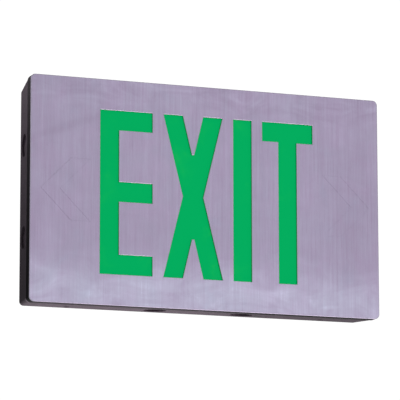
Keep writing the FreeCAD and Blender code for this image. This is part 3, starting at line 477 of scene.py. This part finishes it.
give("light_box", plastic("white_plastic", (226, 226, 222), (240, 240, 238), 0.55, 30.0, 0.08, 900.0))
give("light_box_rivets", plastic("white_rivets", (222, 222, 218), (238, 238, 236), 0.42, 300.0, 0.06))
give("transfer_relay", plastic("relay_case", (30, 30, 33), (44, 44, 47), 0.42, 200.0, 0.12, 2600.0))
give("test_switch", plastic("switch_case", (26, 26, 28), (38, 38, 40), 0.40, 260.0, 0.10, 2600.0))
give("test_button", plastic("button_cap", (30, 29, 31), (46, 44, 47), 0.36, 500.0, 0.08, 3000.0))
give("lamp_holder", plastic("lamp_block", (26, 26, 28), (36, 36, 38), 0.45, 260.0, 0.10, 2600.0))
give("supply_terminal_block", plastic("grey_plastic", (118, 122, 128), (140, 144, 150), 0.42, 240.0, 0.08, 2600.0))
for nm in ("battery_connector", "led_connectors", "switch_plunger", "lead_saddles"):
    give(nm, plastic("nylon_" + nm, (214, 208, 192), (232, 227, 214), 0.38, 300.0, 0.05, 2400.0, 0.15))
for nm, a, b in (("battery_lead_positive", (150, 18, 16), (186, 32, 26)), ("battery_lead_negative", (20, 20, 22), (36, 36, 38)),
                 ("upper_led_lead", (214, 214, 208), (232, 232, 228)), ("lower_led_lead", (214, 214, 208), (232, 232, 228))):
    give(nm, plastic("pvc_" + nm, a, b, 0.36, 260.0, 0.06, 2200.0))
give("surge_disc", plastic("blue_epoxy", (18, 62, 146), (34, 88, 176), 0.22, 220.0, 0.25, 500.0))

# capacitors: dark sleeve, bare top, pale stripe down one side
m = Mat("dark_sleeve")
x, y, z = m.xyz()
n = m.noise(m.map((1, 1, 1)), 240.0, 3.0, 0.5)
nx, ny, nz = m.sep(m.normal())
cap_top = m.gt(ny, 0.80)
stripe = m.mul(m.gt(nx, 0.86), m.lt(m.math("FRACT", m.mul(y, 320.0)), 0.86))
c = m.mix(n, lin((22, 26, 50)), lin((36, 40, 68)))
c = m.mix(stripe, c, lin((176, 178, 188)))
c = m.mix(cap_top, c, lin((182, 184, 188)))
m.link(c, "Base Color")
m.link(m.mul(cap_top, 0.9), "Metallic")
m.link(m.add(0.26, m.mul(n, 0.16)), "Roughness")
m.link(m.bump(n, 0.12, 0.0003), "Normal")
give("filter_capacitors", m)

# battery sleeve: shrink film pulled over four cells, ends puckered
m = Mat("battery_sleeve")
x, y, z = m.xyz()
n = m.noise(m.map((1, 1, 0.25)), 160.0, 4.0, 0.6, 0.5)
n2 = m.noise(m.map((1, 1, 1)), 900.0, 2.0, 0.5)
b_lo, b_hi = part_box("battery_pack")
end = m.mx(m.step(z, b_hi.z - 0.004, b_hi.z - 0.0005), m.step(z, b_lo.z + 0.004, b_lo.z + 0.0005))
c = m.mix(n, lin((24, 70, 140)), lin((40, 98, 176)))
c = m.mix(m.mul(end, 0.5), c, lin((16, 44, 92)))
m.link(c, "Base Color")
m.link(m.add(0.20, m.mul(n2, 0.16)), "Roughness")
m.link(m.bump(m.add(n, m.mul(m.mul(end, n2), 1.2)), 0.30, 0.0005), "Normal")
give("battery_pack", m)

# charge lamp: clear red lens
m = Mat("red_lens")
n = m.noise(m.map((1, 1, 1)), 900.0, 2.0, 0.5)
m.link(m.mix(n, lin((128, 14, 12)), lin((170, 26, 20))), "Base Color")
m.link(m.add(0.10, m.mul(n, 0.08)), "Roughness")
m.b.inputs["Transmission Weight"].default_value = 0.35
give("charge_lamp", m)


# ---------------------------------------------------------------------------
# boards
# ---------------------------------------------------------------------------
def tracks(m, u, v, pitch, keep_scale, width=0.16):
    """Straight copper runs at a pitch, broken up in blocks."""
    cell = m.math("FRACT", m.mul(u, 1.0 / pitch))
    line = m.lt(m.ab(m.sub(cell, 0.5)), width)
    row = m.math("FLOOR", m.mul(u, 1.0 / pitch))
    blk = m.math("FLOOR", m.mul(v, keep_scale))
    j = m.t.nodes.new("ShaderNodeCombineXYZ")
    m.t.links.new(row, j.inputs[0])
    m.t.links.new(blk, j.inputs[1])
    wn = m.t.nodes.new("ShaderNodeTexWhiteNoise")
    wn.noise_dimensions = "3D"
    m.t.links.new(j.outputs[0], wn.inputs["Vector"])
    return m.mul(line, m.gt(wn.outputs["Value"], 0.52))


m = Mat("green_laminate")
x, y, z = m.xyz()
a = tracks(m, x, z, 0.0024, 130.0)
b = tracks(m, z, x, 0.0024, 110.0)
cu = m.mx(a, b)
n = m.noise(m.map((1, 1, 1)), 160.0, 3.0, 0.5)
c = m.mix(n, lin((14, 74, 40)), lin((24, 92, 50)))
c = m.mix(m.mul(cu, 0.55), c, lin((52, 130, 66)))
pad = m.lt(m.voronoi(m.map((1, 0, 1)), 260.0, rand=0.35), 0.16)
c = m.mix(m.mul(pad, 0.8), c, lin((196, 198, 196)))
nx, ny, nz = m.sep(m.normal())
flat = m.gt(m.ab(ny), 0.5)
c = m.mix(flat, lin((150, 140, 96)), c)
m.link(c, "Base Color")
m.link(m.add(0.30, m.mul(n, 0.1)), "Roughness")
m.link(m.bump(m.mul(m.add(cu, pad), flat), 0.25, 0.0001), "Normal")
give("driver_board", m)

for nm, sg in (("upper_led_board", 1), ("lower_led_board", -1)):
    m = Mat("white_laminate_" + nm)
    x, y, z = m.xyz()
    n = m.noise(m.map((1, 1, 1)), 160.0, 3.0, 0.5)
    run = m.mx(m.lt(m.ab(m.sub(y, -0.0306)), 0.0004), m.lt(m.ab(m.sub(y, -0.0358)), 0.0004))
    cell = m.ab(m.sub(m.math("FRACT", m.mul(m.add(x, 0.150), 40.0)), 0.5))
    pads = m.mul(m.mul(m.gt(cell, 0.085), m.lt(cell, 0.125)), m.lt(m.ab(m.sub(y, -0.0331)), 0.0011))
    c = m.mix(n, lin((214, 215, 210)), lin((228, 229, 225)))
    c = m.mix(m.mul(run, 0.5), c, lin((196, 198, 190)))
    c = m.mix(pads, c, lin((190, 190, 188)))
    m.link(c, "Base Color")
    m.link(m.mul(pads, 0.8), "Metallic")
    m.link(m.add(0.30, m.mul(n, 0.12)), "Roughness")
    m.link(m.bump(m.add(run, pads), 0.2, 0.0001), "Normal")
    give(nm, m)

for nm, sg in (("upper_leds", 1), ("lower_leds", -1)):
    m = Mat("led_body_" + nm)
    x, y, z = m.xyz()
    n = m.noise(m.map((1, 1, 1)), 700.0, 2.0, 0.5)
    dx = m.mul(m.sub(m.math("FRACT", m.mul(m.add(x, 0.150), 40.0)), 0.5), 0.025)
    dy = m.sub(y, -0.0331)
    rr = m.math("SQRT", m.add(m.mul(dx, dx), m.mul(dy, dy)))
    lens = m.mul(m.lt(rr, 0.00115), m.lt(m.mul(z, float(sg)), 0.0857))
    c = m.mix(n, lin((226, 224, 212)), lin((240, 238, 228)))
    c = m.mix(lens, c, lin((60, 230, 150)))
    m.link(c, "Base Color")
    m.link(m.mix(lens, (0, 0, 0, 1), lin((40, 255, 150))), "Emission Color")
    m.set(Emission_Strength=3.0)
    m.link(m.add(0.34, m.mul(n, 0.1)), "Roughness")
    give(nm, m)


# ---------------------------------------------------------------------------
# small things on the driver board, LED domes, terminal screws
# ---------------------------------------------------------------------------
def ring(bm, centre, axis, ref, r, seg):
    side = axis.cross(ref).normalized()
    up = side.cross(axis).normalized()
    return [bm.verts.new(centre + (side * math.cos(2 * math.pi * k / seg) + up * math.sin(2 * math.pi * k / seg)) * r)
            for k in range(seg)]


def skin(bm, a, b, mi):
    n = len(a)
    for k in range(n):
        f = bm.faces.new((a[k], a[(k + 1) % n], b[(k + 1) % n], b[k]))
        f.material_index = mi
        f.smooth = True


def lathe(bm, base, axis, prof, seg=18):
    """Surface of revolution: prof is a list of (height, radius, material)."""
    axis = Vector(axis).normalized()
    ref = Vector((0.31, 0.52, 0.79))
    rings = [ring(bm, Vector(base) + axis * h, axis, ref, max(r, 1e-6), seg) for h, r, _ in prof]
    for i in range(len(rings) - 1):
        skin(bm, rings[i], rings[i + 1], prof[i + 1][2])
    f = bm.faces.new(list(reversed(rings[0])))
    f.material_index = prof[0][2]
    f = bm.faces.new(rings[-1])
    f.material_index = prof[-1][2]


def wire(bm, pts, r, mi, seg=10):
    P = [Vector(q) for q in pts]
    rings = []
    for i, q in enumerate(P):
        d = (P[min(i + 1, len(P) - 1)] - P[max(i - 1, 0)]).normalized()
        rings.append(ring(bm, q, d, Vector((0.31, 0.52, 0.79)), r, seg))
    for a, b in zip(rings, rings[1:]):
        skin(bm, a, b, mi)
    bm.faces.new(list(reversed(rings[0]))).material_index = mi
    bm.faces.new(rings[-1]).material_index = mi


def finish_piece(name, bm, mats, bevel=0.0):
    bmesh.ops.recalc_face_normals(bm, faces=bm.faces)
    me = bpy.data.meshes.new(name)
    bm.to_mesh(me)
    bm.free()
    o = bpy.data.objects.new(name, me)
    bpy.context.scene.collection.objects.link(o)
    for mt in mats:
        me.materials.append(mt.m)
    if bevel:
        b = o.modifiers.new("edge", "BEVEL")
        b.width = bevel
        b.segments = 2
        b.limit_method = "ANGLE"
    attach(o, "housing")
    return o


pcb_lo, pcb_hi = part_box("driver_board")
Y0, Y1 = pcb_lo.y, pcb_hi.y
lead_mat = metal_mat("tinned_lead", (178, 180, 182), (206, 208, 210), 0.28, (1, 1, 1), 900.0, 0.05)
joints = []


def bent_lead(bm, cx, cz, along, half, side, y, mi):
    """From a body end out, round a small bend and down through the board."""
    u = Vector((1, 0, 0)) if along == "x" else Vector((0, 0, 1))
    c = Vector((cx, y, cz))
    a = c + u * side * half
    end = c + u * side * 0.00508
    r = 0.0007
    pts = [a - u * side * 0.0004, a + u * side * 0.0002]
    for k in range(7):
        t = math.pi / 2 * k / 6
        pts.append(end - u * side * (r - r * math.sin(t)) + Vector((0, -(r - r * math.cos(t)), 0)))
    pts.append(Vector((end.x, Y1 - 0.0002, end.z)))
    pts.append(Vector((end.x, Y0 - 0.0009, end.z)))
    wire(bm, pts, 0.00028, mi)
    joints.append((end.x, end.z))


res_mats = [plastic("resistor_body", (198, 170, 128), (216, 190, 150), 0.40, 500.0, 0.05),
            plastic("band_brown", (96, 52, 26), (116, 66, 36), 0.40, 600.0, 0.03),
            plastic("band_black", (22, 20, 20), (36, 34, 34), 0.40, 600.0, 0.03),
            plastic("band_gold", (176, 134, 50), (200, 160, 74), 0.32, 600.0, 0.03), lead_mat]
bm = bmesh.new()
for cx, cz, along in ((0.1065, -0.0525, "z"), (0.1105, -0.0525, "z"), (0.0970, -0.0952, "x"), (0.1110, -0.0952, "x")):
    y = Y1 + 0.0015
    L = 0.0031
    u = (1, 0, 0) if along == "x" else (0, 0, 1)
    base = Vector((cx, y, cz)) - Vector(u) * L
    R, W = 0.00115, 0.00098
    prof = [(0.0, 0.00050, 0), (0.00012, 0.00085, 0), (0.0004, R, 0), (0.0009, R, 0), (0.0010, R + 0.00002, 0),
            (0.0015, R + 0.00002, 1), (0.0016, W, 0), (0.0023, W, 0), (0.00231, W + 0.00002, 0), (0.0028, W + 0.00002, 2),
            (0.00281, W, 0), (0.0034, W, 0), (0.00341, W + 0.00002, 0), (0.0039, W + 0.00002, 1), (0.00391, W, 0),
            (0.0046, W, 0), (0.0047, R, 0), (0.0048, R + 0.00002, 0), (0.0053, R + 0.00002, 3), (0.0054, R, 0),
            (0.0058, R, 0), (0.00608, 0.00085, 0), (0.0062, 0.00050, 0)]
    lathe(bm, base, u, prof)
    for side in (-1, 1):
        bent_lead(bm, cx, cz, along, L, side, y, 4)
finish_piece("board_resistors", bm, res_mats)

dio_mats = [plastic("diode_body", (24, 24, 26), (38, 38, 40), 0.38, 500.0, 0.05),
            plastic("diode_band", (184, 186, 188), (204, 206, 208), 0.36, 600.0, 0.03), lead_mat]
bm = bmesh.new()
for cx, cz, along in ((0.1143, -0.0525, "z"), (0.1250, -0.0952, "x"), (0.0845, -0.0665, "z")):
    y = Y1 + 0.0016
    L = 0.0026
    u = (1, 0, 0) if along == "x" else (0, 0, 1)
    base = Vector((cx, y, cz)) - Vector(u) * L
    prof = [(0.0, 0.0010, 0), (0.00015, 0.00125, 0), (0.0003, 0.00130, 0), (0.0037, 0.00130, 0), (0.00371, 0.00131, 0),
            (0.0045, 0.00131, 1), (0.00451, 0.00130, 0), (0.0049, 0.00130, 0), (0.00505, 0.00125, 0), (0.0052, 0.0010, 0)]
    lathe(bm, base, u, prof)
    for side in (-1, 1):
        bent_lead(bm, cx, cz, along, L, side, y, 2)
finish_piece("board_diodes", bm, dio_mats)

# eight-pin control chip: draft on the moulded body, a pin-one notch, pins bent down
chip_mats = [plastic("chip_body", (26, 26, 28), (36, 36, 38), 0.50, 400.0, 0.10), lead_mat]
bm = bmesh.new()
cx, cz = 0.0760, -0.0665
ya, ym, yb = Y1 + 0.0005, Y1 + 0.0022, Y1 + 0.0038
hx_, hz_ = 0.00318, 0.0047


def slab(y, k):
    """Outline with a half-round notch in its upper end."""
    pts = [(-hx_ + k, -hz_ + k), (hx_ - k, -hz_ + k), (hx_ - k, hz_ - k)]
    for i in range(9):
        t = math.pi * i / 8
        pts.append((0.0008 * math.cos(t), hz_ - k - 0.0008 * math.sin(t)))
    pts.append((-hx_ + k, hz_ - k))
    return [bm.verts.new((cx + a, y, cz + b)) for a, b in pts]


lv = [slab(ya, 0.00022), slab(ym, 0.0), slab(yb, 0.00022)]
for a, b in zip(lv, lv[1:]):
    n = len(a)
    for k in range(n):
        bm.faces.new((a[k], a[(k + 1) % n], b[(k + 1) % n], b[k]))
bm.faces.new(list(reversed(lv[0])))
bm.faces.new(lv[-1])
for i in range(4):
    pz = cz + (i - 1.5) * 0.00254
    for side in (-1, 1):
        path = [(0.0030, ym, 0.0007), (0.0036, ym, 0.0007), (0.0039, ym - 0.0003, 0.0007), (0.0039, Y1 + 0.0004, 0.0007),
                (0.0039, Y1 + 0.0001, 0.00025), (0.0039, Y0 - 0.0009, 0.00022)]
        prev = None
        for k, (px, py, w) in enumerate(path):
            nx_, ny_ = ((0, 1) if k < 2 else (1, 0))
            t = 0.00013
            q = [bm.verts.new((cx + side * (px + sx * t * nx_), py + sx * t * ny_, pz + sz * w)) for sx, sz in
                 ((-1, -1), (1, -1), (1, 1), (-1, 1))]
            if prev:
                for j in range(4):
                    f = bm.faces.new((prev[j], prev[(j + 1) % 4], q[(j + 1) % 4], q[j]))
                    f.material_index = 1
            else:
                bm.faces.new(q).material_index = 1
            prev = q
        bm.faces.new(list(reversed(prev))).material_index = 1
        joints.append((cx + side * 0.0039, pz))
finish_piece("control_chip", bm, chip_mats)

# solder fillets on the far side of the board, one at every pin
for px, pz in ((0.0645, -0.076), (0.0645, -0.070), (0.0645, -0.064), (0.0880, -0.0505), (0.0980, -0.0505), (0.0880, -0.0555),
               (0.0980, -0.0555), (0.1320, -0.0595), (0.1320, -0.0645), (0.1320, -0.0725), (0.1320, -0.0775),
               (0.0865, -0.0840), (0.0865, -0.0880), (0.1202, -0.0505), (0.1202, -0.0535), (0.1000, -0.0700),
               (0.1000, -0.0820), (0.1160, -0.0700), (0.1160, -0.0820), (0.0727, -0.0460), (0.0763, -0.0460),
               (0.1415, -0.0558), (0.1415, -0.0582), (0.1415, -0.0658), (0.1415, -0.0682), (0.0700, -0.0962), (0.0730, -0.0962),
               (0.0600, -0.0930), (0.0632, -0.0930)):
    joints.append((px, pz))
bm = bmesh.new()
for px, pz in joints:
    lathe(bm, (px, Y0, pz), (0, -1, 0),
          [(0.0, 0.00095, 0), (0.00012, 0.00090, 0), (0.00035, 0.00062, 0), (0.0007, 0.00042, 0), (0.0010, 0.00034, 0),
           (0.00112, 0.00022, 0)], 14)
solder = metal_mat("solder", (176, 178, 180), (210, 212, 214), 0.22, (1, 1, 1), 700.0, 0.08)
finish_piece("solder_joints", bm, [solder])

# slotted clamp screws down in the supply block
tb_lo, tb_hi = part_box("supply_terminal_block")
bm = bmesh.new()
for i in range(3):
    zc = -0.076 + 0.006 * i
    top = tb_hi.y - 0.0007
    seg, rr, sl = 28, 0.00165, 0.00022
    base_y = tb_hi.y - 0.0022
    for half in (-1, 1):
        a0 = math.asin(sl / rr)
        arc = [(rr * math.cos(a0 + (math.pi - 2 * a0) * k / seg) * 1.0, half * rr * math.sin(a0 + (math.pi - 2 * a0) * k / seg))
               for k in range(seg + 1)]
        lo_ = [bm.verts.new((0.064 + a, base_y + 0.0009, zc + b)) for a, b in arc]
        mid_ = [bm.verts.new((0.064 + a, top - 0.0002, zc + b)) for a, b in arc]
        hi_ = [bm.verts.new((0.064 + a * 0.90, top, zc + (half * sl + (b - half * sl) * 0.90))) for a, b in arc]
        for p_, q_ in ((lo_, mid_), (mid_, hi_)):
            n = len(p_)
            for k in range(n):
                bm.faces.new((p_[k], p_[(k + 1) % n], q_[(k + 1) % n], q_[k]))
        bm.faces.new(hi_)
        bm.faces.new(list(reversed(lo_)))
    lathe(bm, (0.064, base_y, zc), (0, 1, 0), [(0.0, 0.0015, 0), (0.0002, rr, 0), (0.00091, rr, 0)], 40)
finish_piece("terminal_screws", bm, [metal_mat("clamp_screw", (172, 174, 176), (206, 208, 210), 0.30, (1, 1, 1), 800.0, 0.05)])

# clear silicone domes on the LEDs
for nm, sg in (("upper", 1), ("lower", -1)):
    m = Mat("silicone_" + nm)
    n = m.noise(m.map((1, 1, 1)), 1200.0, 2.0, 0.5)
    m.link(m.mix(n, lin((150, 236, 190)), lin((196, 250, 220))), "Base Color")
    m.link(m.mix(n, lin((70, 240, 160)), lin((120, 250, 190))), "Emission Color")
    m.set(Emission_Strength=1.6)
    m.link(m.add(0.10, m.mul(n, 0.08)), "Roughness")
    bm = bmesh.new()
    for i in range(12):
        lx = -0.1375 + 0.025 * i
        prof = [(0.0, 0.00108, 0)]
        for k in range(1, 7):
            t = math.pi / 2 * k / 6
            prof.append((0.00012 + 0.00040 * math.sin(t), 0.00108 * math.cos(t) + 1e-5, 0))
        lathe(bm, (lx, -0.0331, sg * 0.08555), (0, 0, -sg), prof, 20)
    finish_piece(nm + "_led_domes", bm, [m])

# return spring of the test button: round wire, closed and ground-off ends
sp_lo, sp_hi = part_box("button_spring")
sp_c = (sp_lo + sp_hi) / 2
WIRE_R = 0.0002
coil_r = (sp_hi.x - sp_lo.x) / 2 - WIRE_R
turns, per = 3.5, 40
n_pts = int(turns * per)
z0, z1 = sp_lo.z + WIRE_R + 0.00001, sp_hi.z - WIRE_R - 0.00001
m = Mat("spring_wire")
n = m.noise(m.map((1, 1, 1)), 1500.0, 2.0, 0.5)
m.link(m.mix(n, lin((158, 160, 164)), lin((190, 192, 196))), "Base Color")
m.link(m.add(0.24, m.mul(n, 0.12)), "Roughness")
m.set(Metallic=1.0)
bm = bmesh.new()
rings = []
for k in range(n_pts + 1):
    t = k / n_pts
    a = 2 * math.pi * turns * t
    e = 0.10
    if t < e:
        h = 0.06 * (t / e) ** 2
    elif t > 1 - e:
        h = 1 - 0.06 * ((1 - t) / e) ** 2
    else:
        h = 0.06 + 0.88 * (t - e) / (1 - 2 * e)
    c = Vector((sp_c.x + coil_r * math.cos(a), sp_c.y + coil_r * math.sin(a), z0 + (z1 - z0) * h))
    out = Vector((math.cos(a), math.sin(a), 0))
    rings.append([bm.verts.new(c + (out * math.cos(2 * math.pi * j / 12) + Vector((0, 0, 1)) * math.sin(2 * math.pi * j / 12)) * WIRE_R)
                  for j in range(12)])
for a, b in zip(rings, rings[1:]):
    skin(bm, a, b, 0)
bm.faces.new(rings[0])
bm.faces.new(list(reversed(rings[-1])))
coil = finish_piece("return_spring", bm, [m])
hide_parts("button_spring")
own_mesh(coil)

# ---------------------------------------------------------------------------
# camera, light, floor
# ---------------------------------------------------------------------------
scene = bpy.context.scene
cam_data = bpy.data.cameras.new("camera")
cam = bpy.data.objects.new("camera", cam_data)
scene.collection.objects.link(cam)
cam_data.sensor_width = 36.0
cam_data.lens = 267.664
cam_data.clip_start, cam_data.clip_end = 0.1, 60.0
cam.rotation_mode = "QUATERNION"
cam.rotation_quaternion = Quaternion((0.631159, 0.7540745, -0.13894, -0.1170714))
cam.location = (-1.014277, -2.673844, -0.50511)
scene.camera = cam

scene.view_settings.view_transform = "Standard"
scene.view_settings.look = "None"
scene.view_settings.exposure = 0.0
scene.view_settings.gamma = 1.0

ENV_DOWN, ENV_UP, ENV_BACK = 0.57, 0.54, 0.08
world = bpy.data.worlds.new("studio")
scene.world = world
world.use_nodes = True
wt = world.node_tree
wt.nodes.clear()
wo = wt.nodes.new("ShaderNodeOutputWorld")
mixs = wt.nodes.new("ShaderNodeMixShader")
lp = wt.nodes.new("ShaderNodeLightPath")
bg_light = wt.nodes.new("ShaderNodeBackground")
bg_view = wt.nodes.new("ShaderNodeBackground")
bg_view.inputs[0].default_value = (1, 1, 1, 1)
bg_view.inputs[1].default_value = 1.05
tcw = wt.nodes.new("ShaderNodeTexCoord")
sepw = wt.nodes.new("ShaderNodeSeparateXYZ")
wt.links.new(tcw.outputs["Generated"], sepw.inputs[0])


def wnode(kind, a, b, lo=None, hi=None, t0=0.0, t1=1.0):
    if kind == "RANGE":
        n = wt.nodes.new("ShaderNodeMapRange")
        n.interpolation_type = "SMOOTHSTEP"
        wt.links.new(a, n.inputs["Value"])
        n.inputs["From Min"].default_value = lo
        n.inputs["From Max"].default_value = hi
        n.inputs["To Min"].default_value = t0
        n.inputs["To Max"].default_value = t1
        return n.outputs[0]
    n = wt.nodes.new("ShaderNodeMath")
    n.operation = kind
    for k, v in ((0, a), (1, b)):
        if isinstance(v, (int, float)):
            n.inputs[k].default_value = v
        else:
            wt.links.new(v, n.inputs[k])
    return n.outputs[0]


# soft studio: bright in front and below, dim behind the sign, as against a wall
updown = wnode("RANGE", sepw.outputs[2], None, -0.9, 0.9, ENV_DOWN, ENV_UP)
behind = wnode("RANGE", sepw.outputs[1], None, -0.15, 0.55, 1.0, ENV_BACK)
bg_light.inputs[0].default_value = (1, 1, 1, 1)
wt.links.new(wnode("MULTIPLY", updown, behind), bg_light.inputs[1])
wt.links.new(lp.outputs["Is Camera Ray"], mixs.inputs[0])
wt.links.new(bg_light.outputs[0], mixs.inputs[1])
wt.links.new(bg_view.outputs[0], mixs.inputs[2])
wt.links.new(mixs.outputs[0], wo.inputs[0])


def area(name, loc, target, size, power, size_y=None, tint=(1.0, 1.0, 1.0)):
    d = bpy.data.lights.new(name, "AREA")
    d.energy = power
    d.color = tint
    d.shape = "RECTANGLE" if size_y else "SQUARE"
    d.size = size
    if size_y:
        d.size_y = size_y
    o = bpy.data.objects.new(name, d)
    scene.collection.objects.link(o)
    o.location = loc
    o.rotation_mode = "QUATERNION"
    o.rotation_quaternion = (Vector(target) - Vector(loc)).to_track_quat("-Z", "Y")
    o.visible_camera = False
    return o


area("key", (1.15, -2.7, 0.45), (0, 0, 0), 2.4, 15.4)
area("left_top", (-0.42, 0.26, 0.27), (-0.18, -0.01, 0.07), 0.2, 0.56, None, (1.0, 0.92, 1.0))
area("below", (0.33, -0.15, -0.90), (0.0, -0.03, -0.11), 0.6, 2.0, None, (1.0, 0.82, 0.95))
area("behind_low", (0.05, 0.50, -0.16), (-0.02, 0.0, -0.11), 0.34, 0.15, 0.10, (1.0, 0.78, 0.95))
area("rear_fill", (1.1, 2.6, 1.3), (0, 0, 0), 1.8, 34.0)

# pale studio floor, well below the wall-hung case
bm = bmesh.new()
bmesh.ops.create_grid(bm, x_segments=12, y_segments=12, size=20.0)
me = bpy.data.meshes.new("studio_floor")
bm.to_mesh(me)
bm.free()
floor = bpy.data.objects.new("studio_floor", me)
floor.location = (0, 0, -3.7)
scene.collection.objects.link(floor)
fm = Mat("pale_floor")
n = fm.noise(fm.map((1, 1, 1)), 1.2, 3.0, 0.5)
fm.link(fm.mix(n, lin((238, 238, 240)), lin((246, 246, 247))), "Base Color")
fm.set(Roughness=0.8, Emission_Color=(0.95, 0.95, 0.96, 1.0), Emission_Strength=0.22)
me.materials.append(fm.m)
